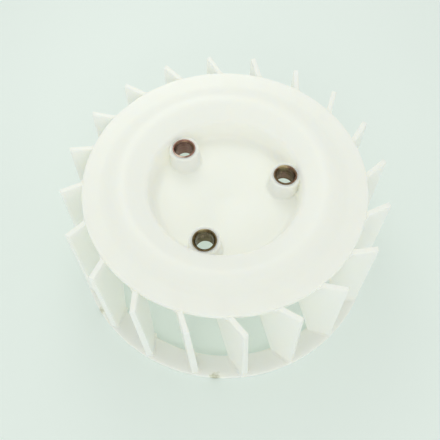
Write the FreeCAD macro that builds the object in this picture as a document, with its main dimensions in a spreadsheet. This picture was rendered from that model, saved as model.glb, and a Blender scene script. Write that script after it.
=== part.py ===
import FreeCAD, Part
import math
import os
import Sketcher

# Scooter cooling fan: a moulded nylon wheel with three metal bushes.
# Frame: millimetres, +Z along the wheel's axis, origin at the centre of the
# underside of the flat ring that the wheel stands on, +X through one bush.

V = FreeCAD.Vector
NODE_FOLDER = "parts"

doc = FreeCAD.newDocument("cooling_fan")
sheet = doc.addObject("Spreadsheet::Sheet", "sizes")

# Driving dimensions in millimetres and degrees, each under its own name.
# Radii are built up from the bolt circle outwards, heights down from the blade tips.
SIZES = [
    ("wheel_height", 47.0),
    # sunk hub and the disc round it
    ("boss_circle_radius", 22.9),
    ("hub_margin", 5.1),
    ("hub_wall_lean", 1.0),
    ("crest_span", 9.2),
    ("flange_offset", 6.2),
    ("flange_width", 7.3),
    ("disc_wall", 2.2),
    ("crest_round", 6.0),
    ("crest_drop", 1.1),
    ("edge_drop", 2.0),
    ("flange_drop", 2.8),
    ("lip_drop", 5.2),
    ("floor_drop", 13.8),
    ("centre_drop", 16.4),
    # open ring that ties the feet of the blades, clear of the disc for the mould
    ("mould_gap", 1.2),
    ("ring_width", 8.3),
    ("ring_thickness", 2.0),
    # blades, straight in plan and thinner towards the disc
    ("blade_count", 20),
    ("blade_phase", 12.0),
    ("blade_sweep", 30.0),
    ("blade_thickness", 2.6),
    ("blade_draft", 0.45),
    ("blade_tip_reach", 6.8),
    ("blade_foot_inset", 0.9),
    ("blade_root_overlap", 0.2),
    ("blade_top_step", 0.4),
    # bosses on the hub
    ("boss_count", 3),
    ("boss_radius", 5.6),
    ("boss_drop", 7.0),
    ("boss_draft", 2.5),
    # flat seats for the screw heads, on the blade side of the hub
    ("seat_drop", 14.9),
    ("seat_radius", 5.0),
    # metal bushes
    ("bush_bore_radius", 3.3),
    ("bush_wall", 1.0),
    ("bush_stand", 0.2),
    ("bush_mouth_chamfer", 0.5),
]

# Values that follow from the driving dimensions
DERIVED = [
    ("lip_radius", "=boss_circle_radius + hub_margin"),
    ("floor_radius", "=lip_radius - hub_wall_lean"),
    ("crest_radius", "=lip_radius + crest_span"),
    ("flange_inner_radius", "=crest_radius + flange_offset"),
    ("disc_radius", "=flange_inner_radius + flange_width"),
    ("ring_inner_radius", "=disc_radius + mould_gap"),
    ("ring_outer_radius", "=ring_inner_radius + ring_width"),
    ("blade_tip_radius", "=disc_radius + blade_tip_reach"),
    ("blade_foot_radius", "=ring_outer_radius - blade_foot_inset"),
    ("blade_root_radius", "=flange_inner_radius - blade_root_overlap"),
    ("disc_edge_height", "=wheel_height - edge_drop"),
    ("flange_inner_height", "=wheel_height - flange_drop"),
    ("crest_height", "=wheel_height - crest_drop"),
    ("lip_height", "=wheel_height - lip_drop"),
    ("floor_height", "=wheel_height - floor_drop"),
    ("centre_height", "=wheel_height - centre_drop"),
    ("boss_height", "=wheel_height - boss_drop"),
    ("seat_height", "=wheel_height - seat_drop"),
    ("under_edge_height", "=disc_edge_height - disc_wall"),
    ("under_flange_height", "=flange_inner_height - disc_wall"),
    ("under_crest_height", "=crest_height - disc_wall"),
    ("under_lip_radius", "=lip_radius + disc_wall"),
    ("lip_slope", "=(crest_height - lip_height) / crest_span"),
    ("under_lip_height", "=lip_height - disc_wall + disc_wall * lip_slope"),
    ("under_floor_radius", "=floor_radius + disc_wall"),
    ("under_floor_height", "=floor_height - disc_wall"),
    ("under_centre_height", "=centre_height - disc_wall"),
    ("blade_base_height", "=ring_thickness / 2"),
    ("blade_top_length", "=wheel_height + disc_wall - blade_base_height"),
    ("blade_offset", "=blade_tip_radius * sin(blade_sweep)"),
    ("blade_near_side", "=blade_offset - blade_thickness / 2"),
    ("blade_far_side", "=blade_offset + blade_thickness / 2"),
    ("blade_inner_reach", "=sqrt((blade_root_radius - blade_thickness) ^ 2 - blade_offset ^ 2)"),
    ("blade_outer_reach", "=sqrt((blade_foot_radius + blade_thickness) ^ 2 - blade_offset ^ 2)"),
    ("blade_hidden_height", "=flange_inner_height - disc_wall / 2"),
    ("blade_hidden_radius", "=disc_radius - disc_wall"),
    ("blade_rim_height", "=disc_edge_height - blade_top_step"),
    ("trim_top", "=wheel_height + disc_wall * 2"),
    ("trim_radius", "=blade_foot_radius + blade_thickness * 2"),
    ("edge_slope", "=(ring_inner_radius - blade_root_radius) / (under_flange_height - ring_thickness)"),
    ("edge_low_radius", "=ring_inner_radius + edge_slope * ring_thickness"),
    ("edge_high_radius", "=ring_inner_radius - edge_slope * (trim_top - ring_thickness)"),
    ("cone_slope", "=(blade_foot_radius - blade_tip_radius) / (wheel_height - ring_thickness)"),
    ("cone_low_radius", "=blade_foot_radius + cone_slope * ring_thickness"),
    ("boss_base_height", "=floor_height - disc_wall / 2"),
    ("boss_pad_length", "=boss_height - boss_base_height"),
    ("bush_outer_radius", "=bush_bore_radius + bush_wall"),
    ("bush_length", "=boss_height + bush_stand - seat_height"),
    ("bush_mouth_radius", "=bush_bore_radius + bush_mouth_chamfer"),
    ("bush_high_mouth", "=bush_length - bush_mouth_chamfer"),
]

# How a sketch counts the points of a line or circle and, below nought, its own axes
START, END, CENTRE = range(1, 4)
HORIZONTAL_AXIS, VERTICAL_AXIS = range(-1, -3, -1)
SKETCH_ORIGIN = (HORIZONTAL_AXIS, START)


def fillSheet():
    """Writes each size beside its name, as a number or as a formula."""
    for row, (name, value) in enumerate(SIZES + DERIVED, start=1):
        sheet.set("A%d" % row, name)
        sheet.set("B%d" % row, str(value))
        sheet.setAlias("B%d" % row, name)
        doc.recompute()


def size(name):
    """Gives the number that the sheet holds under a name."""
    return float(sheet.get(name))


def bind(item, prop, name):
    """Ties a property to a named size of the sheet."""
    item.setExpression(prop, "sizes." + name)


def originPart(body, role):
    """Gives one of the body's own origin planes or axes."""
    return next(item for item in body.Origin.OriginFeatures if item.Role == role)


def newSketch(body, name, role, height=None):
    """Starts a sketch on an origin plane, raised to a named height."""
    sketch = body.newObject("Sketcher::SketchObject", name)
    sketch.AttachmentSupport = [(originPart(body, role), "")]
    sketch.MapMode = "FlatFace"
    if height:
        bind(sketch, ".AttachmentOffset.Base.z", height)
    doc.recompute()
    return sketch


def coordinate(name):
    """Gives a signed coordinate: None is the axis, a leading minus its far side."""
    if name is None:
        return 0.0
    if name.startswith("-"):
        return -size(name[1:])
    return size(name)


def hold(sketch, geometry, point, across, up):
    """Ties a point to two named coordinates, measured from the sketch's origin."""
    for kind, name, axis in (("DistanceX", across, VERTICAL_AXIS), ("DistanceY", up, HORIZONTAL_AXIS)):
        if name is None:
            sketch.addConstraint(Sketcher.Constraint("PointOnObject", geometry, point, axis))
            continue
        ends = SKETCH_ORIGIN + (geometry, point)
        if name.startswith("-"):
            ends = (geometry, point) + SKETCH_ORIGIN
        number = sketch.addConstraint(Sketcher.Constraint(kind, *ends, abs(coordinate(name))))
        bind(sketch, "Constraints[%d]" % number, name.lstrip("-"))


def outline(sketch, corners):
    """Draws a closed outline through named corners; a corner may have a round."""
    points = [V(coordinate(across), coordinate(up), 0) for across, up, _ in corners]
    count = len(corners)
    turns = []
    for index, (_, _, roundName) in enumerate(corners):
        here = points[index]
        if roundName is None:
            turns.append((here, here, None))
            continue
        back = (points[index - 1] - here).normalize()
        ahead = (points[(index + 1) % count] - here).normalize()
        half = back.getAngle(ahead) / 2
        radius = size(roundName)
        reach = radius / math.tan(half)
        centre = here + (back + ahead).normalize() * (radius / math.sin(half))
        turns.append((here + back * reach, here + ahead * reach, centre))
    lines = []
    for index in range(count):
        begin = turns[index][1]
        finish = turns[(index + 1) % count][0]
        lines.append(sketch.addGeometry(Part.LineSegment(begin, finish)))
    for index, (across, up, roundName) in enumerate(corners):
        lineIn = lines[index - 1]
        lineOut = lines[index]
        if roundName is None:
            sketch.addConstraint(Sketcher.Constraint("Coincident", lineIn, END, lineOut, START))
            hold(sketch, lineOut, START, across, up)
            continue
        first, second, centre = turns[index]
        fromFirst = first - centre
        fromSecond = second - centre
        leftTurn = fromFirst.cross(fromSecond).z > 0
        angles = [math.atan2(arm.y, arm.x) for arm in (fromFirst, fromSecond)]
        circle = Part.Circle(centre, V(0, 0, 1), size(roundName))
        if leftTurn:
            arc = sketch.addGeometry(Part.ArcOfCircle(circle, angles[0], angles[1]))
        else:
            arc = sketch.addGeometry(Part.ArcOfCircle(circle, angles[1], angles[0]))
        arcIn, arcOut = (START, END) if leftTurn else (END, START)
        corner = sketch.addGeometry(Part.Point(points[index]), True)
        sketch.addConstraint(Sketcher.Constraint("Tangent", lineIn, END, arc, arcIn))
        sketch.addConstraint(Sketcher.Constraint("Tangent", lineOut, START, arc, arcOut))
        number = sketch.addConstraint(Sketcher.Constraint("Radius", arc, size(roundName)))
        bind(sketch, "Constraints[%d]" % number, roundName)
        sketch.addConstraint(Sketcher.Constraint("PointOnObject", corner, START, lineIn))
        sketch.addConstraint(Sketcher.Constraint("PointOnObject", corner, START, lineOut))
        hold(sketch, corner, START, across, up)
    doc.recompute()


def circleAt(sketch, across, radiusName):
    """Draws a circle on the sketch's horizontal axis, or round its origin."""
    circle = Part.Circle(V(coordinate(across), 0, 0), V(0, 0, 1), size(radiusName))
    number = sketch.addGeometry(circle)
    hold(sketch, number, CENTRE, across, None)
    held = sketch.addConstraint(Sketcher.Constraint("Radius", number, size(radiusName)))
    bind(sketch, "Constraints[%d]" % held, radiusName)
    doc.recompute()


def settle(body, feature):
    """Makes a feature the body's result and works it out."""
    body.Tip = feature
    doc.recompute()
    return feature


def turned(body, kind, name, sketch):
    """Turns a sketch once round its vertical axis, adding or cutting."""
    feature = body.newObject("PartDesign::" + kind, name)
    feature.Profile = sketch
    feature.ReferenceAxis = (sketch, ["V_Axis"])
    feature.Angle = 360
    return settle(body, feature)


def repeated(body, name, originals, countName):
    """Repeats features evenly round the wheel's axis."""
    pattern = body.newObject("PartDesign::PolarPattern", name)
    pattern.Originals = originals
    pattern.Axis = (originPart(body, "Z_Axis"), [""])
    pattern.Angle = 360
    settle(body, pattern)
    bind(pattern, "Occurrences", countName)
    doc.recompute()
    return pattern


def makeBlades(body):
    """Blades: one straight tapering strip, repeated and trimmed by turned cuts."""
    plan = newSketch(body, "blade_plan", "XY_Plane")
    chordAngle = size("blade_phase") + size("blade_sweep")
    plan.AttachmentOffset = FreeCAD.Placement(V(0, 0, 0), FreeCAD.Rotation(V(0, 0, 1), chordAngle))
    plan.setExpression(".AttachmentOffset.Rotation.Angle", "sizes.blade_phase + sizes.blade_sweep")
    bind(plan, ".AttachmentOffset.Base.z", "blade_base_height")
    outline(plan, [
        ("blade_inner_reach", "-blade_far_side", None),
        ("blade_outer_reach", "-blade_far_side", None),
        ("blade_outer_reach", "-blade_near_side", None),
        ("blade_inner_reach", "-blade_near_side", None),
    ])
    strip = body.newObject("PartDesign::Pad", "blade_strip")
    strip.Profile = plan
    strip.Type = "Length"
    bind(strip, "Length", "blade_top_length")
    strip.setExpression("TaperAngle", "-sizes.blade_draft")
    settle(body, strip)
    repeated(body, "blade_row", [strip], "blade_count")
    outside = newSketch(body, "blade_outside", "XZ_Plane")
    outline(outside, [
        (None, "blade_hidden_height", None),
        ("blade_hidden_radius", "blade_hidden_height", None),
        ("disc_radius", "blade_rim_height", None),
        ("blade_tip_radius", "wheel_height", None),
        ("cone_low_radius", None, None),
        ("trim_radius", None, None),
        ("trim_radius", "trim_top", None),
        (None, "trim_top", None),
    ])
    turned(body, "Groove", "blade_outside_cut", outside)
    inside = newSketch(body, "blade_inside", "XZ_Plane")
    outline(inside, [
        (None, None, None),
        ("edge_low_radius", None, None),
        ("edge_high_radius", "trim_top", None),
        (None, "trim_top", None),
    ])
    turned(body, "Groove", "blade_inside_cut", inside)


def makeDisc(body):
    """Disc, its rounded crest and the sunk hub, turned as one wall."""
    profile = newSketch(body, "disc_profile", "XZ_Plane")
    outline(profile, [
        (None, "centre_height", None),
        (None, "under_centre_height", None),
        ("under_floor_radius", "under_floor_height", None),
        ("under_lip_radius", "under_lip_height", None),
        ("crest_radius", "under_crest_height", None),
        ("flange_inner_radius", "under_flange_height", None),
        ("disc_radius", "under_edge_height", None),
        ("disc_radius", "disc_edge_height", None),
        ("flange_inner_radius", "flange_inner_height", None),
        ("crest_radius", "crest_height", "crest_round"),
        ("lip_radius", "lip_height", None),
        ("floor_radius", "floor_height", None),
    ])
    turned(body, "Revolution", "disc", profile)


def makeRing(body):
    """Flat open ring under the feet of the blades."""
    profile = newSketch(body, "ring_profile", "XZ_Plane")
    outline(profile, [
        ("ring_inner_radius", None, None),
        ("ring_outer_radius", None, None),
        ("ring_outer_radius", "ring_thickness", None),
        ("ring_inner_radius", "ring_thickness", None),
    ])
    turned(body, "Revolution", "ring", profile)


def makeBosses(body):
    """Three drafted bosses on the hub, each bored for a bush and faced below."""
    top = newSketch(body, "boss_top", "XY_Plane", "boss_height")
    circleAt(top, "boss_circle_radius", "boss_radius")
    boss = body.newObject("PartDesign::Pad", "boss")
    boss.Profile = top
    boss.Type = "Length"
    boss.Reversed = True
    bind(boss, "Length", "boss_pad_length")
    bind(boss, "TaperAngle", "boss_draft")
    settle(body, boss)
    repeated(body, "bosses", [boss], "boss_count")
    seatPlan = newSketch(body, "seat_plan", "XY_Plane", "seat_height")
    circleAt(seatPlan, "boss_circle_radius", "seat_radius")
    seat = body.newObject("PartDesign::Pocket", "seat")
    seat.Profile = seatPlan
    seat.Type = "Length"
    bind(seat, "Length", "disc_wall")
    settle(body, seat)
    repeated(body, "seats", [seat], "boss_count")
    borePlan = newSketch(body, "bore_plan", "XY_Plane", "boss_height")
    circleAt(borePlan, "boss_circle_radius", "bush_outer_radius")
    bore = body.newObject("PartDesign::Pocket", "bore")
    bore.Profile = borePlan
    bore.Type = "Length"
    bind(bore, "Length", "boss_height")
    settle(body, bore)
    repeated(body, "bores", [bore], "boss_count")


def makeWheel():
    """The moulded wheel, one solid."""
    body = doc.addObject("PartDesign::Body", "fan_wheel")
    body.Label = "fan_wheel"
    makeBlades(body)
    makeDisc(body)
    makeRing(body)
    makeBosses(body)
    return body


def makeBush(number):
    """A turned metal bush, stood on its seat at its own place on the circle."""
    name = "mounting_bush_%d" % (number + 1)
    body = doc.addObject("PartDesign::Body", name)
    body.Label = name
    profile = newSketch(body, name + "_profile", "XZ_Plane")
    outline(profile, [
        ("bush_mouth_radius", None, None),
        ("bush_outer_radius", None, None),
        ("bush_outer_radius", "bush_length", None),
        ("bush_mouth_radius", "bush_length", None),
        ("bush_bore_radius", "bush_high_mouth", None),
        ("bush_bore_radius", "bush_mouth_chamfer", None),
    ])
    turned(body, "Revolution", name + "_sleeve", profile)
    share = "%d * 360 / sizes.boss_count" % number
    body.setExpression(".Placement.Base.x", "sizes.boss_circle_radius * cos(%s)" % share)
    body.setExpression(".Placement.Base.y", "sizes.boss_circle_radius * sin(%s)" % share)
    bind(body, ".Placement.Base.z", "seat_height")
    doc.recompute()
    return body


def checkAll(bodies):
    """Stops the build where a feature failed or a body isn't one sound solid."""
    for item in doc.Objects:
        faults = [word for word in item.State if word in ("Invalid", "Error")]
        if faults:
            raise RuntimeError("%s: %s" % (item.Label, faults))
    for body in bodies:
        shape = body.Shape
        if shape.isNull() or not shape.isValid() or len(shape.Solids) != 1:
            raise RuntimeError("%s isn't one sound solid: %d" % (body.Label, len(shape.Solids)))


def main():
    fillSheet()
    bodies = [makeWheel()]
    for number in range(int(size("boss_count"))):
        bodies.append(makeBush(number))
    doc.recompute()
    checkAll(bodies)
    os.makedirs(NODE_FOLDER, exist_ok=True)
    for body in bodies:
        body.Shape.exportStep(os.path.join(NODE_FOLDER, body.Label + ".step"))
        box = body.Shape.optimalBoundingBox()
        print("%s volume %.1f mm3, box %.2f %.2f %.2f to %.2f %.2f %.2f" % (
            body.Label, body.Shape.Volume, box.XMin, box.YMin, box.ZMin, box.XMax, box.YMax, box.ZMax))


main()
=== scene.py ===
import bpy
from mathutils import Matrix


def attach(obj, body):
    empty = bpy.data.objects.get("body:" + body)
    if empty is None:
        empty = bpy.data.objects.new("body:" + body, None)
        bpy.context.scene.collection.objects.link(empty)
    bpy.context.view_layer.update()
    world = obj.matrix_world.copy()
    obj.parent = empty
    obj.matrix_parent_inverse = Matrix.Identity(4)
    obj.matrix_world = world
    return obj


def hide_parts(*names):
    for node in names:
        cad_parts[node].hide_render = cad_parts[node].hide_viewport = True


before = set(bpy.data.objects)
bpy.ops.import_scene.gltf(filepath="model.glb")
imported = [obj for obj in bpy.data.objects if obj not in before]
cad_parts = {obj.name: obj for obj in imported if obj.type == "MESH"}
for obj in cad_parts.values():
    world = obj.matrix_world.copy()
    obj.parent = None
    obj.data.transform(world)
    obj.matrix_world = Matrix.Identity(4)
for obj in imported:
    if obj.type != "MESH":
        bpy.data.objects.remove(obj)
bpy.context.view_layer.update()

import math
import bmesh
import bpy
import numpy as np
from mathutils import Matrix, Vector

print("frame loaded:", sorted(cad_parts))

mm = 0.001
weldGap = 0.004 * mm  # points closer than this become one after a join or a cut
scene = bpy.context.scene
scene.view_settings.view_transform = "Standard"
scene.view_settings.look = "None"
scene.cycles.max_bounces = 20
scene.cycles.diffuse_bounces = 14  # light wanders far inside the pale wheel


def profileWithRounds(corners):
    # Turns corners (x, z, round radius, steps) into a smooth line: each rounded corner
    # becomes an arc that touches both of its straight sides.
    points = []
    for index, (x, z, radius, steps) in enumerate(corners):
        here = np.array([x, z], float)
        if not radius:
            points.append(here[None, :])
            continue
        before = np.array(corners[index - 1][:2], float) - here
        after = np.array(corners[(index + 1) % len(corners)][:2], float) - here
        before /= np.linalg.norm(before)
        after /= np.linalg.norm(after)
        half = math.acos(float(np.clip(before @ after, -1, 1))) / 2
        middle = (before + after) / np.linalg.norm(before + after)
        centre = here + middle * radius / math.sin(half)
        first = here + before * radius / math.tan(half) - centre
        last = here + after * radius / math.tan(half) - centre
        start = math.atan2(first[1], first[0])
        sweep = (math.atan2(last[1], last[0]) - start + math.pi) % (2 * math.pi) - math.pi
        angles = start + sweep * np.linspace(0, 1, steps + 1)
        points.append(centre + radius * np.stack([np.cos(angles), np.sin(angles)], 1))
    return np.concatenate(points)


def refined(line, longest, closed=False):
    # Puts extra points on each run of a line that is longer than the given length.
    rows = []
    count = len(line) if closed else len(line) - 1
    for index in range(count):
        a = line[index]
        b = line[(index + 1) % len(line)]
        parts = max(1, int(math.ceil(np.linalg.norm(b - a) / longest)))
        rows.append(a + (b - a) * (np.arange(parts) / parts)[:, None])
    if not closed:
        rows.append(line[-1:])
    return np.concatenate(rows)


def gridFaces(rows, columns, closedRows=False):
    # Quads between neighbouring rows and columns of a grid of points. The last column always
    # joins the first, and the last row joins the first where the rows are closed.
    rowIndex = np.arange(rows if closedRows else rows - 1)
    r, c = np.meshgrid(rowIndex, np.arange(columns), indexing="ij")
    r2 = (r + 1) % rows
    c2 = (c + 1) % columns
    quads = np.stack([r * columns + c, r * columns + c2, r2 * columns + c2, r2 * columns + c], -1)
    return quads.reshape(-1, 4).tolist()


def poleFans(rows, columns):
    # Triangles that close both ends of a grid whose rows are rings: one fan from a pole to the
    # first row and one to the last. The poles are the two points that follow the grid's own.
    near = np.arange(columns)
    far = (near + 1) % columns
    pole = rows * columns
    lastRow = pole - columns
    low = np.stack([np.full(columns, pole), far, near], 1)
    high = np.stack([np.full(columns, pole + 1), lastRow + near, lastRow + far], 1)
    return np.concatenate([low, high]).tolist()


def makeObject(name, points, faces):
    # A mesh object at the origin, from points in millimetres.
    mesh = bpy.data.meshes.new(name)
    mesh.from_pydata((points * mm).tolist(), [], faces)
    mesh.update()
    piece = bpy.data.objects.new(name, mesh)
    scene.collection.objects.link(piece)
    return piece


def turnedSolid(name, line, segments, closed=False, centre=(0.0, 0.0)):
    # Surface of revolution: point (r, z) of the line at angle a lies at (r cos a, r sin a, z).
    # A closed line gives a ring. An open one starts and ends on the axis, with a pole at each end.
    angles = np.arange(segments) * 2 * math.pi / segments
    body = line if closed else line[1:-1]
    x = centre[0] + body[:, 0, None] * np.cos(angles)
    y = centre[1] + body[:, 0, None] * np.sin(angles)
    z = np.broadcast_to(body[:, 1, None], x.shape)
    points = np.stack([x, y, z], -1).reshape(-1, 3)
    faces = gridFaces(len(body), segments, closed)
    if not closed:
        poles = np.array([[centre[0], centre[1], line[0, 1]], [centre[0], centre[1], line[-1, 1]]])
        points = np.concatenate([points, poles])
        faces += poleFans(len(body), segments)
    return makeObject(name, points, faces)


def outwards(piece, weld=0.0):
    # Turns every face of a closed mesh to point out; points closer than the weld become one.
    work = bmesh.new()
    work.from_mesh(piece.data)
    if weld:
        bmesh.ops.remove_doubles(work, verts=work.verts, dist=weld)
        bmesh.ops.dissolve_degenerate(work, edges=work.edges, dist=weld)
    bmesh.ops.recalc_face_normals(work, faces=work.faces)
    work.to_mesh(piece.data)
    work.free()
    return piece


def combine(base, tool, operation):
    # Joins or cuts two closed meshes exactly, and drops the tool.
    modifier = base.modifiers.new(operation.lower(), "BOOLEAN")
    modifier.object = tool
    modifier.operation = operation
    modifier.solver = "EXACT"
    depsgraph = bpy.context.evaluated_depsgraph_get()
    result = bpy.data.meshes.new_from_object(base.evaluated_get(depsgraph))
    base.modifiers.clear()
    base.data = result
    bpy.data.objects.remove(tool)
    return outwards(base, weldGap)


disc = {
    "radius": 50.7, "edgeHeight": 45.0, "edgeRound": 0.5, "wall": 2.2,
    "flangeRadius": 43.4, "flangeHeight": 44.2, "flangeBlend": 9.0,
    "crestRadius": 37.2, "crestHeight": 45.9, "crestRound": 9.0,
    "lipRadius": 28.0, "lipHeight": 41.8, "lipRound": 2.6,
    "floorRadius": 27.0, "floorHeight": 33.2, "floorFillet": 3.6,
    "centreHeight": 30.6, "underRound": 1.6, "segments": 300,
    "smoothAngle": 28,  # degrees; the whole wheel's shading splits at sharper turns
}
ring = {"inner": 51.9, "outer": 60.2, "thickness": 2.0, "edgeRound": 0.45, "segments": 300}
blade = {
    "count": 20, "phase": 12.0, "sweep": 30.0, "thickness": 2.6, "draft": 0.45,
    "tipRadius": 57.5, "tipHeight": 47.0, "footRadius": 59.3, "rootRadius": 43.2,
    "topStep": 0.4, "edgeRound": 0.3, "rootFillet": 0.8, "rows": 26, "chordPoints": 15,
}
boss = {
    "count": 3, "circle": 22.9, "height": 40.0, "topRadius": 5.6, "draft": 2.5,
    "footFillet": 1.1, "edgeRound": 0.5, "segments": 96,
    "seatHeight": 32.1, "seatRadius": 5.0, "seatCut": 3.0, "boreCut": (28, 42),
    # below the floor: how far the skirt reaches out in foot fillets, its dip, and the boss's own depth
    "skirt": 1.6, "skirtDip": 0.15, "sunk": 1.2,
}
bush = {
    "outer": 4.3, "bore": 3.3, "stand": 0.2, "mouth": 0.5, "round": 0.12, "topRound": 0.14,
    "grooveDepth": 0.035, "groovePitch": 0.75, "wallPoints": 60, "segments": 96, "smoothAngle": 50,
}


def discLine():
    # Half section of the disc: its upper line from the axis out to the rim, and its lower line
    # back to the axis, one wall thickness below.
    d = disc
    wall = d["wall"]
    slope = (d["crestHeight"] - d["lipHeight"]) / (d["crestRadius"] - d["lipRadius"])
    corners = [
        (0, d["centreHeight"], 0, 0),
        (d["floorRadius"], d["floorHeight"], d["floorFillet"], 10),
        (d["lipRadius"], d["lipHeight"], d["lipRound"], 9),
        (d["crestRadius"], d["crestHeight"], d["crestRound"], 12),
        (d["flangeRadius"], d["flangeHeight"], d["flangeBlend"], 10),
        (d["radius"], d["edgeHeight"], d["edgeRound"], 5),
        (d["radius"], d["edgeHeight"] - wall, d["edgeRound"], 5),
        (d["flangeRadius"], d["flangeHeight"] - wall, d["flangeBlend"], 6),
        (d["crestRadius"], d["crestHeight"] - wall, d["crestRound"], 8),
        (d["lipRadius"] + wall, d["lipHeight"] - wall + wall * slope, d["underRound"], 4),
        (d["floorRadius"] + wall, d["floorHeight"] - wall, d["underRound"], 6),
        (0, d["centreHeight"] - wall, 0, 0),
    ]
    return refined(profileWithRounds(corners), longest=2.0)


def floorHeight(radius):
    # Height of the hub's floor, a shallow cone, at a distance from the axis.
    share = radius / disc["floorRadius"]
    return disc["centreHeight"] + (disc["floorHeight"] - disc["centreHeight"]) * share


def underHeight(radius):
    # Height of the disc's underside over the blades, read from its corner line.
    d = disc
    radii = [d["lipRadius"], d["crestRadius"], d["flangeRadius"], d["radius"]]
    heights = [d["lipHeight"], d["crestHeight"], d["flangeHeight"], d["edgeHeight"]]
    return np.interp(radius, radii, heights) - d["wall"]


def bladePoints():
    # One blade: a flat strip along a chord at a fixed distance from the axis. Its half thickness
    # falls with the draft and swells by a quarter round at the foot and under the disc. Each row
    # of points lies at a share of the height between the foot and the top line.
    b = blade
    offset = b["tipRadius"] * math.sin(math.radians(b["sweep"]))
    low = ring["thickness"] / 2  # the foot starts inside the ring
    # shares of the height: finer near the foot, under the disc and at the top edge
    share = np.concatenate([
        np.linspace(0, 0.045, 7), np.linspace(0.08, 0.9, b["rows"] - 14), np.linspace(0.925, 0.99, 5),
        [0.9955, 1.0],
    ])
    n = b["chordPoints"]
    across = np.linspace(0, 1, n)
    cone = (b["footRadius"] - b["tipRadius"]) / (b["tipHeight"] - ring["thickness"])
    rootHeight = disc["flangeHeight"] - disc["wall"]
    lean = (ring["inner"] - b["rootRadius"]) / (rootHeight - ring["thickness"])
    rimHeight = disc["edgeHeight"] - b["topStep"]
    hiddenHeight = disc["flangeHeight"] - disc["wall"] / 2

    def chordAt(radius):
        # how far along the chord the given distance from the axis is reached
        return np.sqrt(np.maximum(radius ** 2 - offset ** 2, 0))

    # six passes settle it: the top line depends on the radius, and the radius on the height
    z = np.full((len(share), n), low) + share[:, None] * (boss["height"] - low)
    for _ in range(6):
        inner = chordAt(ring["inner"] - lean * (z - ring["thickness"]))
        outer = chordAt(b["footRadius"] - cone * (z - ring["thickness"]))
        chord = inner + (outer - inner) * across[None, :]
        radius = np.sqrt(chord ** 2 + offset ** 2)
        top = np.interp(radius, [disc["radius"] - disc["wall"], disc["radius"], b["tipRadius"]],
                        [hiddenHeight, rimHeight, b["tipHeight"]])
        z = low + share[:, None] * (top - low)
    half = b["thickness"] / 2 - np.tan(math.radians(b["draft"])) * (z - low)
    fillet = b["rootFillet"]
    footGap = np.clip((ring["thickness"] + fillet - z) / fillet, 0, 1)
    rootGap = np.clip((z - (underHeight(radius) - fillet)) / fillet, 0, 1)
    rim = disc["radius"] - b["edgeRound"]
    rootGap = np.where(radius < rim, rootGap, 0)
    swell = fillet * (1 - np.sqrt(1 - np.maximum(footGap, rootGap) ** 2))
    # the top edge outside the disc is rounded over
    drop = np.clip((z - (top - b["edgeRound"])) / b["edgeRound"], 0, 1)
    drop = np.where(radius > rim, drop, 0)
    half = half + swell - b["edgeRound"] * (1 - np.sqrt(1 - drop ** 2))
    # section loop: one face out along the chord, the other face back
    loopChord = np.concatenate([chord, chord[:, ::-1]], 1)
    loopSide = np.concatenate([-half, half[:, ::-1]], 1)
    loopZ = np.concatenate([z, z[:, ::-1]], 1)
    return loopChord, loopSide - offset, loopZ


def makeBlades():
    # The blade turned about the axis by equal steps; its two end rows are closed by strips.
    allPoints = []
    allFaces = []
    chord, side, z = bladePoints()
    rows, columns = chord.shape
    faces = gridFaces(rows, columns)
    half = columns // 2
    for cap in (0, rows - 1):
        base = cap * columns
        last = base + columns - 1
        strip = [[base + i, base + i + 1, last - i - 1, last - i] for i in range(half - 1)]
        faces += strip if cap == 0 else [quad[::-1] for quad in strip]
    size = rows * columns
    for index in range(blade["count"]):
        turn = math.radians(blade["phase"] + blade["sweep"] + index * 360 / blade["count"])
        x = chord * math.cos(turn) - side * math.sin(turn)
        y = chord * math.sin(turn) + side * math.cos(turn)
        allPoints.append(np.stack([x, y, z], -1).reshape(-1, 3))
        allFaces += [[corner + index * size for corner in face] for face in faces]
    return makeObject("bladeRow", np.concatenate(allPoints), allFaces)


def makeRing():
    # A flat ring: a rectangle with rounded corners carried round the axis.
    r = ring
    edge = r["edgeRound"]
    corners = [
        (r["inner"], 0, edge, 5), (r["outer"], 0, edge, 5),
        (r["outer"], r["thickness"], edge, 5), (r["inner"], r["thickness"], edge, 5),
    ]
    line = refined(profileWithRounds(corners), longest=2.5, closed=True)
    return turnedSolid("footRing", line, r["segments"], closed=True)


def bossCentre(index):
    # Place of a boss on its circle, at equal angles from the x axis.
    angle = index * 2 * math.pi / boss["count"]
    return boss["circle"] * math.cos(angle), boss["circle"] * math.sin(angle)


def makeBoss(index):
    # A boss whose foot follows the sloping floor: height = floor + rise near the foot, and
    # level at the top. The profile is a concave quarter round, a drafted side and a rounded edge.
    b = boss
    cx, cy = bossCentre(index)
    rise = b["height"] - floorHeight(b["circle"])
    footRadius = b["topRadius"] + math.tan(math.radians(b["draft"])) * rise
    skirtRadius = footRadius + b["footFillet"] * b["skirt"]
    corners = [
        (skirtRadius, -b["skirtDip"], 0, 0),
        (footRadius, 0.0, b["footFillet"], 7),
        (b["topRadius"], rise, b["edgeRound"], 6),
        (0.0, rise, 0, 0),
    ]
    sunk = np.array([[0.0, -b["sunk"]], [skirtRadius, -b["sunk"]]])
    line = refined(np.concatenate([sunk, profileWithRounds(corners)]), longest=1.4)
    segments = b["segments"]
    angles = np.arange(segments) * 2 * math.pi / segments
    body = line[1:-1]
    x = cx + body[:, 0, None] * np.cos(angles)
    y = cy + body[:, 0, None] * np.sin(angles)
    level = np.clip(body[:, 1] / rise, 0, 1)[:, None]
    floor = floorHeight(np.hypot(x, y)) * (1 - level) + floorHeight(b["circle"]) * level
    z = floor + body[:, 1, None]
    points = np.stack([x, y, z], -1).reshape(-1, 3)
    faces = gridFaces(len(body), segments) + poleFans(len(body), segments)
    poles = np.array([[cx, cy, floorHeight(b["circle"]) - b["sunk"]], [cx, cy, b["height"]]])
    return makeObject("boss%d" % index, np.concatenate([points, poles]), faces)


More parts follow.
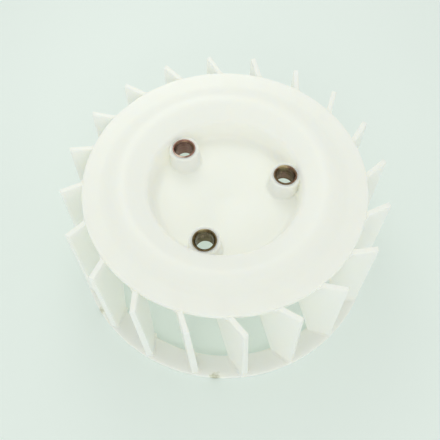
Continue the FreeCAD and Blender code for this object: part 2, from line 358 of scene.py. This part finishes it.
def plug(name, index, radius, low, high):
    # A plain cutter: a closed cylinder on the bolt circle.
    corners = np.array([[0, low], [radius, low], [radius, high], [0, high]], float)
    line = refined(corners, longest=3.0)
    return outwards(turnedSolid(name, line, boss["segments"], centre=bossCentre(index)))


def makeWheel():
    # Disc, blades, ring and bosses joined, then each boss cut for its bush and its screw head.
    wheel = outwards(turnedSolid("fanWheel", discLine(), disc["segments"]))
    wheel = combine(wheel, outwards(makeBlades()), "UNION")
    wheel = combine(wheel, outwards(makeRing()), "UNION")
    seat = boss["seatHeight"]
    below = seat - boss["seatCut"]
    for index in range(boss["count"]):
        wheel = combine(wheel, outwards(makeBoss(index)), "UNION")
        seatCutter = plug("seat%d" % index, index, boss["seatRadius"], below, seat)
        wheel = combine(wheel, seatCutter, "DIFFERENCE")
        boreCutter = plug("bore%d" % index, index, bush["outer"], *boss["boreCut"])
        wheel = combine(wheel, boreCutter, "DIFFERENCE")
    return wheel


def smoothed(piece, degrees):
    # Smooth shading, split where two faces meet more sharply than the given angle.
    piece.data.polygons.foreach_set("use_smooth", np.ones(len(piece.data.polygons), bool))
    piece.data.set_sharp_from_angle(angle=math.radians(degrees))
    return piece


wheel = smoothed(makeWheel(), disc["smoothAngle"])
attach(wheel, "root")
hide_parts("fan_wheel")
print("wheel:", len(wheel.data.vertices), "points")


def makeBush(index):
    # A turned sleeve: the bore wall waves in and out by a small groove depth along its length.
    b = bush
    low = boss["seatHeight"]
    high = boss["height"] + b["stand"]
    wallHeights = np.linspace(high - b["mouth"], low + b["mouth"], b["wallPoints"])
    turns = (wallHeights - low) / b["groovePitch"]
    wave = b["grooveDepth"] * (0.5 - 0.5 * np.cos(2 * math.pi * turns))
    wallLine = np.stack([b["bore"] + wave, wallHeights], 1)
    flare = b["bore"] + b["mouth"]
    corners = [
        (flare, low, b["round"], 3), (b["outer"], low, b["round"], 3),
        (b["outer"], high, b["topRound"], 4), (flare, high, b["round"], 4),
    ]
    line = np.concatenate([profileWithRounds(corners), wallLine])
    name = "mountingBush%d" % (index + 1)
    return turnedSolid(name, line, b["segments"], closed=True, centre=bossCentre(index))


bushes = []
for index in range(boss["count"]):
    piece = smoothed(outwards(makeBush(index)), bush["smoothAngle"])
    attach(piece, "root")
    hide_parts("mounting_bush_%d" % (index + 1))
    bushes.append(piece)
print("bushes:", len(bushes))


def markEdges(piece, softDegrees, fullDegrees):
    # Stores how sharply the surface turns at each point, outwards as "edge" and inwards as "nook":
    # the angle between the two faces at an edge, scaled to 0..1, and the largest one at each point.
    mesh = piece.data
    faceCount = len(mesh.polygons)
    normals = np.zeros(faceCount * 3)
    centres = np.zeros(faceCount * 3)
    corners = np.zeros(faceCount, int)
    loopEdges = np.zeros(len(mesh.loops), int)
    edgePoints = np.zeros(len(mesh.edges) * 2, int)
    mesh.polygons.foreach_get("normal", normals)
    mesh.polygons.foreach_get("center", centres)
    mesh.polygons.foreach_get("loop_total", corners)
    mesh.loops.foreach_get("edge_index", loopEdges)
    mesh.edges.foreach_get("vertices", edgePoints)
    normals = normals.reshape(-1, 3)
    centres = centres.reshape(-1, 3)
    edgePoints = edgePoints.reshape(-1, 2)
    loopFaces = np.repeat(np.arange(faceCount), corners)
    order = np.argsort(loopEdges, kind="stable")
    paired = loopEdges[order[:-1]] == loopEdges[order[1:]]
    first = order[:-1][paired]
    second = order[1:][paired]
    edges = loopEdges[first]
    faceA = loopFaces[first]
    faceB = loopFaces[second]
    cosine = np.clip((normals[faceA] * normals[faceB]).sum(1), -1, 1)
    turn = np.degrees(np.arccos(cosine))
    strength = np.clip((turn - softDegrees) / (fullDegrees - softDegrees), 0, 1)
    outward = ((centres[faceB] - centres[faceA]) * normals[faceA]).sum(1) < 0
    for name, chosen in (("edge", outward), ("nook", ~outward)):
        values = np.zeros(len(mesh.vertices))
        for side in (0, 1):
            np.maximum.at(values, edgePoints[edges[chosen], side], strength[chosen])
        layer = mesh.attributes.new(name, "FLOAT", "POINT")
        layer.data.foreach_set("value", values)


def newMaterial(name):
    # A material with its tree of nodes and its Principled shader.
    material = bpy.data.materials.new(name)
    material.use_nodes = True
    tree = material.node_tree
    return material, tree, tree.nodes["Principled BSDF"]


def newGroup(name, inputs, outputs):
    # An empty group of nodes with named sockets, given as (name, kind, value).
    group = bpy.data.node_groups.new(name, "ShaderNodeTree")
    for label, kind, value in inputs:
        socket = group.interface.new_socket(label, in_out="INPUT", socket_type="NodeSocket" + kind)
        if value is not None:
            socket.default_value = value
    for label, kind in outputs:
        group.interface.new_socket(label, in_out="OUTPUT", socket_type="NodeSocket" + kind)
    return group, group.nodes.new("NodeGroupInput"), group.nodes.new("NodeGroupOutput")


def place(tree, kind, **values):
    # Adds a node; a value that is a socket is linked, any other is set.
    node = tree.nodes.new("ShaderNode" + kind)
    for key in ("operation", "data_type", "attribute_name"):
        if key in values:
            setattr(node, key, values.pop(key))
    for key, value in values.items():
        number = int(key[1:]) if key[0] == "_" else key.replace("_", " ")
        if isinstance(value, bpy.types.NodeSocket):
            tree.links.new(value, node.inputs[number])
        else:
            node.inputs[number].default_value = value
    return node


def reckon(tree, operation, *values):
    # One arithmetic node on one, two or three values or sockets.
    named = {"_%d" % index: value for index, value in enumerate(values)}
    return place(tree, "Math", operation=operation, **named).outputs[0]


def remap(tree, value, low, high, newLow=0.0, newHigh=1.0):
    # Straight-line change of range, held at both ends.
    node = place(tree, "MapRange", Value=value, From_Min=low, From_Max=high,
                 To_Min=newLow, To_Max=newHigh)
    return node.outputs["Result"]


def blend(tree, factor, first, second):
    # Mixes two colours: factor 0 gives the first, 1 the second.
    node = place(tree, "Mix", data_type="RGBA", Factor=factor, A=first, B=second)
    return node.outputs["Result"]


def useGroup(tree, group, **values):
    # Places a shared effect with its own values.
    node = place(tree, "Group")
    node.node_tree = group
    for key, value in values.items():
        if isinstance(value, bpy.types.NodeSocket):
            tree.links.new(value, node.inputs[key])
        else:
            node.inputs[key].default_value = value
    return node.outputs


def makeCloudiness():
    # Soft uneven patches: wide noise stretched between two limits.
    inputs = [("Position", "Vector", None), ("Scale", "Float", 45.0), ("Softness", "Float", 0.15)]
    group, entry, leave = newGroup("cloudiness", inputs, [("Factor", "Float")])
    position = entry.outputs["Position"]
    noise = place(group, "TexNoise", Vector=position, Scale=entry.outputs["Scale"], Detail=3.0)
    low = reckon(group, "SUBTRACT", 0.5, entry.outputs["Softness"])
    high = reckon(group, "ADD", 0.5, entry.outputs["Softness"])
    group.links.new(remap(group, noise.outputs["Fac"], low, high), leave.inputs["Factor"])
    return group


def makeGrain():
    # Fine surface height: a broad ripple with finer noise on it.
    inputs = [("Position", "Vector", None), ("Ripple", "Float", 260.0), ("Grain", "Float", 2600.0)]
    group, entry, leave = newGroup("grain", inputs, [("Height", "Float")])
    position = entry.outputs["Position"]
    ripple = place(group, "TexNoise", Vector=position, Scale=entry.outputs["Ripple"], Detail=2.0)
    grain = place(group, "TexNoise", Vector=position, Scale=entry.outputs["Grain"], Detail=2.0)
    fine = reckon(group, "MULTIPLY", grain.outputs["Fac"], 0.18)  # the finer noise is far shallower
    group.links.new(reckon(group, "ADD", ripple.outputs["Fac"], fine), leave.inputs["Height"])
    return group


def makeEdgeWearAndCornerShade():
    # Edge mask: the stored edge value, broken up by noise; used for worn edges and for the painted
    # shade in inward corners.
    inputs = [("Position", "Vector", None), ("Edge", "Float", 0.0), ("Scale", "Float", 420.0)]
    group, entry, leave = newGroup("edgeWearAndCornerShade", inputs, [("Factor", "Float")])
    position = entry.outputs["Position"]
    noise = place(group, "TexNoise", Vector=position, Scale=entry.outputs["Scale"], Detail=4.0)
    broken = remap(group, noise.outputs["Fac"], 0.3, 0.62)  # where the noise is low, the mask is zero: no wear and no painted shade
    group.links.new(reckon(group, "MULTIPLY", entry.outputs["Edge"], broken), leave.inputs["Factor"])
    return group


def makeSoilAndHighlightSpot():
    # A round spot, used for soiled spots and for painted highlights: 1 at its centre, fading to 0 at
    # the given reach, its rim frayed by noise.
    inputs = [("Position", "Vector", None), ("Centre", "Vector", None), ("Reach", "Float", 0.002)]
    group, entry, leave = newGroup("soilAndHighlightSpot", inputs, [("Factor", "Float")])
    position = entry.outputs["Position"]
    away = place(group, "VectorMath", operation="DISTANCE", _0=position, _1=entry.outputs["Centre"])
    noise = place(group, "TexNoise", Vector=position, Scale=900.0, Detail=3.0)
    frayed = reckon(group, "DIVIDE", away.outputs["Value"], entry.outputs["Reach"])
    frayed = reckon(group, "ADD", frayed, reckon(group, "SUBTRACT", noise.outputs["Fac"], 0.5))
    group.links.new(remap(group, frayed, 0.25, 1.0, 1.0, 0.0), leave.inputs["Factor"])
    return group


cloudiness = makeCloudiness()
grain = makeGrain()
edgeWearAndCornerShade = makeEdgeWearAndCornerShade()
soilAndHighlightSpot = makeSoilAndHighlightSpot()

nylonLook = {
    "clear": (0.996, 0.992, 0.945, 1), "cloudy": (0.988, 0.984, 0.925, 1),
    # the grey-brown colour and its share below are painted shade for the inward corners, not dirt
    "edge": (0.994, 0.99, 0.95, 1), "paintedCornerShade": (0.80, 0.77, 0.66, 1), "paintedCornerShadeShare": 0.16,
    "soil": (0.30, 0.30, 0.17, 1), "smooth": 0.33, "rough": 0.42, "bumpDepth": 0.00004, "ior": 1.53,
    # scattering: its weight, its share per colour, and how far light wanders in metres
    "subsurface": 1.0, "radius": (1.0, 0.95, 0.86), "scale": 0.0022,
    "edgeAngles": (8, 26),  # degrees of turn where wear and the painted corner shade begin, and where they are full
    # soiled spots on the ring's rim, as centre and reach in metres, with their strength
    "spots": (
        ((-0.0165, -0.0580, 0.001), 0.0026, 0.75),
        ((-0.0557, -0.0231, 0.001), 0.0022, 0.6),
    ),
}


def makeNylon():
    # Pale scattering plastic: cloudy patches, worn edges, painted shade darkening the inward corners,
    # and soiled spots.
    material, tree, shader = newMaterial("naturalNylon")
    look = nylonLook
    position = place(tree, "TexCoord").outputs["Object"]
    patches = useGroup(tree, cloudiness, Position=position, Scale=38.0, Softness=0.2)["Factor"]
    colour = blend(tree, patches, look["clear"], look["cloudy"])
    edge = place(tree, "Attribute", attribute_name="edge").outputs["Fac"]
    nook = place(tree, "Attribute", attribute_name="nook").outputs["Fac"]
    worn = useGroup(tree, edgeWearAndCornerShade, Position=position, Edge=edge)["Factor"]
    colour = blend(tree, worn, colour, look["edge"])
    # painted shade: inward corners (blade roots, fillets, the recess) darkened towards a grey-brown
    # that stands in for the shade there
    cornerShadeMask = useGroup(tree, edgeWearAndCornerShade, Position=position, Edge=nook, Scale=160.0)["Factor"]
    colour = blend(tree, reckon(tree, "MULTIPLY", cornerShadeMask, look["paintedCornerShadeShare"]), colour, look["paintedCornerShade"])
    for centre, reach, strength in look["spots"]:
        spot = useGroup(tree, soilAndHighlightSpot, Position=position, Centre=centre, Reach=reach)["Factor"]
        colour = blend(tree, reckon(tree, "MULTIPLY", spot, strength), colour, look["soil"])
    tree.links.new(colour, shader.inputs["Base Color"])
    dull = reckon(tree, "ADD", patches, worn)
    roughness = remap(tree, dull, 0.0, 2.0, look["smooth"], look["rough"])
    tree.links.new(roughness, shader.inputs["Roughness"])
    height = useGroup(tree, grain, Position=position)["Height"]
    bump = place(tree, "Bump", Height=height, Distance=look["bumpDepth"], Strength=1.0)
    tree.links.new(bump.outputs["Normal"], shader.inputs["Normal"])
    shader.inputs["Subsurface Weight"].default_value = look["subsurface"]
    shader.inputs["Subsurface Radius"].default_value = look["radius"]
    shader.inputs["Subsurface Scale"].default_value = look["scale"]
    shader.inputs["IOR"].default_value = look["ior"]
    return material


metalLook = {
    "brown": (0.29, 0.155, 0.135, 1), "olive": (0.136, 0.10, 0.044, 1),
    "gold": (0.62, 0.47, 0.27, 1), "goldShare": 0.5, "goldFrom": 0.52, "goldFull": 0.72,
    "smooth": 0.26, "rough": 0.5, "bumpDepth": 0.00003, "unevenness": 0.2, "edgeAngles": (12, 40),
    "tarnish": (0.55, 0.0, 1.0),  # per bush: 0 is the red-brown film, 1 the olive one
    # painted highlights (rim glints) on the end faces, as centre and reach in metres, with their
    # strength and colour
    "paintedHighlights": (
        ((0.0229, 0.0038, 0.0402), 0.0030, 0.8, (0.60, 0.50, 0.29, 1)),
        ((-0.0138, 0.0166, 0.0402), 0.0030, 0.9, (0.88, 0.70, 0.62, 1)),
        ((-0.0115, -0.0160, 0.0402), 0.0018, 0.6, (0.60, 0.52, 0.32, 1)),
    ),
}


def makeBushMetal():
    # Tarnished metal: a film between two colours, bare rings, worn edges and painted highlights on the
    # end faces.
    material, tree, shader = newMaterial("bushMetal")
    look = metalLook
    position = place(tree, "TexCoord").outputs["Object"]
    patches = useGroup(tree, cloudiness, Position=position, Scale=330.0, Softness=0.12)["Factor"]
    film = place(tree, "Attribute", attribute_name="tarnish").outputs["Fac"]
    edge = place(tree, "Attribute", attribute_name="edge").outputs["Fac"]
    uneven = remap(tree, patches, 0.0, 1.0, -look["unevenness"], look["unevenness"])
    mixed = reckon(tree, "ADD", film, uneven)
    held = reckon(tree, "MINIMUM", reckon(tree, "MAXIMUM", mixed, 0.0), 1.0)
    colour = blend(tree, held, look["brown"], look["olive"])
    # bare streaks run round the bore in thin rings
    height = place(tree, "SeparateXYZ", Vector=position).outputs["Z"]
    rings = place(tree, "CombineXYZ", Z=height).outputs["Vector"]
    streaks = place(tree, "TexNoise", Vector=rings, Scale=2400.0, Detail=2.0)
    bare = remap(tree, streaks.outputs["Fac"], look["goldFrom"], look["goldFull"])
    worn = useGroup(tree, edgeWearAndCornerShade, Position=position, Edge=edge, Scale=700.0)["Factor"]
    bare = reckon(tree, "MAXIMUM", reckon(tree, "MULTIPLY", bare, look["goldShare"]), worn)
    colour = blend(tree, bare, colour, look["gold"])
    # painted highlights: light spots mixed into the colour where the end faces catch a glint
    for centre, reach, strength, highlightColour in look["paintedHighlights"]:
        spot = useGroup(tree, soilAndHighlightSpot, Position=position, Centre=centre, Reach=reach)["Factor"]
        colour = blend(tree, reckon(tree, "MULTIPLY", spot, strength), colour, highlightColour)
    tree.links.new(colour, shader.inputs["Base Color"])
    roughness = remap(tree, patches, 0.0, 1.0, look["smooth"], look["rough"])
    tree.links.new(roughness, shader.inputs["Roughness"])
    bump = place(tree, "Bump", Height=streaks.outputs["Fac"], Distance=look["bumpDepth"], Strength=1.0)
    tree.links.new(bump.outputs["Normal"], shader.inputs["Normal"])
    shader.inputs["Metallic"].default_value = 1.0
    return material


def dress(piece, material):
    # Gives a piece one material.
    piece.data.materials.clear()
    piece.data.materials.append(material)


markEdges(wheel, *nylonLook["edgeAngles"])
dress(wheel, makeNylon())
metal = makeBushMetal()
for index, piece in enumerate(bushes):
    markEdges(piece, *metalLook["edgeAngles"])
    film = piece.data.attributes.new("tarnish", "FLOAT", "POINT")
    film.data.foreach_set("value", np.full(len(piece.data.vertices), metalLook["tarnish"][index]))
    dress(piece, metal)
print("materials ready")


studio = {
    "floorSide": 1500.0, "floorSmooth": 0.42, "floorRough": 0.5,
    "floorColour": (0.893, 0.967, 0.985, 1), "floorShade": (0.883, 0.958, 0.975, 1),
    "overhead": (0.97, 1.0, 0.905, 1), "horizon": (1.0, 1.0, 1.0, 1), "strength": 0.765,
    "fullHeight": 0.6,  # height of a direction, 0..1, from which the ceiling's colour is full
    # soft lights: place, size and power, all aimed at one place
    "aim": (0, 0, 0.02),
    "lights": {
        "nearLight": ((0.0, 0.15, 0.2), 0.12, 0.06),
        "frontLight": ((-0.1273, -0.6369, 0.375), 0.4, 0.6),
    },
}


def makeFloor():
    # A wide flat sheet under the wheel.
    side = studio["floorSide"]
    points = np.array([[-side, -side, 0], [side, -side, 0], [side, side, 0], [-side, side, 0]], float)
    floor = makeObject("floor", points, [[0, 1, 2, 3]])
    material, tree, shader = newMaterial("paleTable")
    position = place(tree, "TexCoord").outputs["Object"]
    patches = useGroup(tree, cloudiness, Position=position, Scale=9.0, Softness=0.25)["Factor"]
    colour = blend(tree, patches, studio["floorColour"], studio["floorShade"])
    tree.links.new(colour, shader.inputs["Base Color"])
    roughness = remap(tree, patches, 0.0, 1.0, studio["floorSmooth"], studio["floorRough"])
    tree.links.new(roughness, shader.inputs["Roughness"])
    floor.data.materials.append(material)


def makeLight(name, spot, size, power):
    # A round soft lamp that faces the aim.
    light = bpy.data.lights.new(name, "AREA")
    light.shape = "DISK"
    light.size = size
    light.energy = power
    light.color = studio["overhead"][:3]
    lamp = bpy.data.objects.new(name, light)
    lamp.location = spot
    lamp.rotation_euler = (Vector(studio["aim"]) - Vector(spot)).to_track_quat("-Z", "Y").to_euler()
    scene.collection.objects.link(lamp)


def makeWorld():
    # Soft room light: a warm ceiling that fades into white walls. The mix follows the height
    # of the direction that a ray looks in.
    world = bpy.data.worlds.new("softRoom")
    world.use_nodes = True
    tree = world.node_tree
    direction = place(tree, "TexCoord").outputs["Generated"]
    height = place(tree, "SeparateXYZ", Vector=direction).outputs["Z"]
    ceiling = remap(tree, height, 0.0, studio["fullHeight"])
    colour = blend(tree, ceiling, studio["horizon"], studio["overhead"])
    background = tree.nodes["Background"]
    tree.links.new(colour, background.inputs["Color"])
    background.inputs["Strength"].default_value = studio["strength"]
    scene.world = world


# pinhole camera fitted to the blade tips, the disc's edge, the ring and the bushes
viewpoint = {
    "eye": (-21.65, -98.66, 200.37), "target": (-0.335, 8.02, 0.0), "roll": -1.0,
    "sensor": 36.0, "focal": 520.0, "pictureWidth": 440.0,  # the last two in picture points
    "clip": 0.005,
}


def makeCamera():
    # Aims the camera from eye to target, then turns it about that line by the roll.
    eye = Vector(viewpoint["eye"]) * mm
    target = Vector(viewpoint["target"]) * mm
    roll = math.radians(viewpoint["roll"])
    forward = (target - eye).normalized()
    level = forward.cross(Vector((0, 0, 1))).normalized()
    upward = level.cross(forward)
    right = level * math.cos(roll) + upward * math.sin(roll)
    up = upward * math.cos(roll) - level * math.sin(roll)
    lens = bpy.data.cameras.new("camera")
    lens.sensor_width = viewpoint["sensor"]
    lens.lens = viewpoint["focal"] / viewpoint["pictureWidth"] * viewpoint["sensor"]
    lens.clip_start = viewpoint["clip"]
    camera = bpy.data.objects.new("camera", lens)
    camera.matrix_world = Matrix((
        (right.x, up.x, -forward.x, eye.x), (right.y, up.y, -forward.y, eye.y),
        (right.z, up.z, -forward.z, eye.z), (0, 0, 0, 1)))
    scene.collection.objects.link(camera)
    scene.camera = camera


makeFloor()
makeWorld()
for name, (spot, size, power) in studio["lights"].items():
    makeLight(name, spot, size, power)
makeCamera()
print("stage ready")
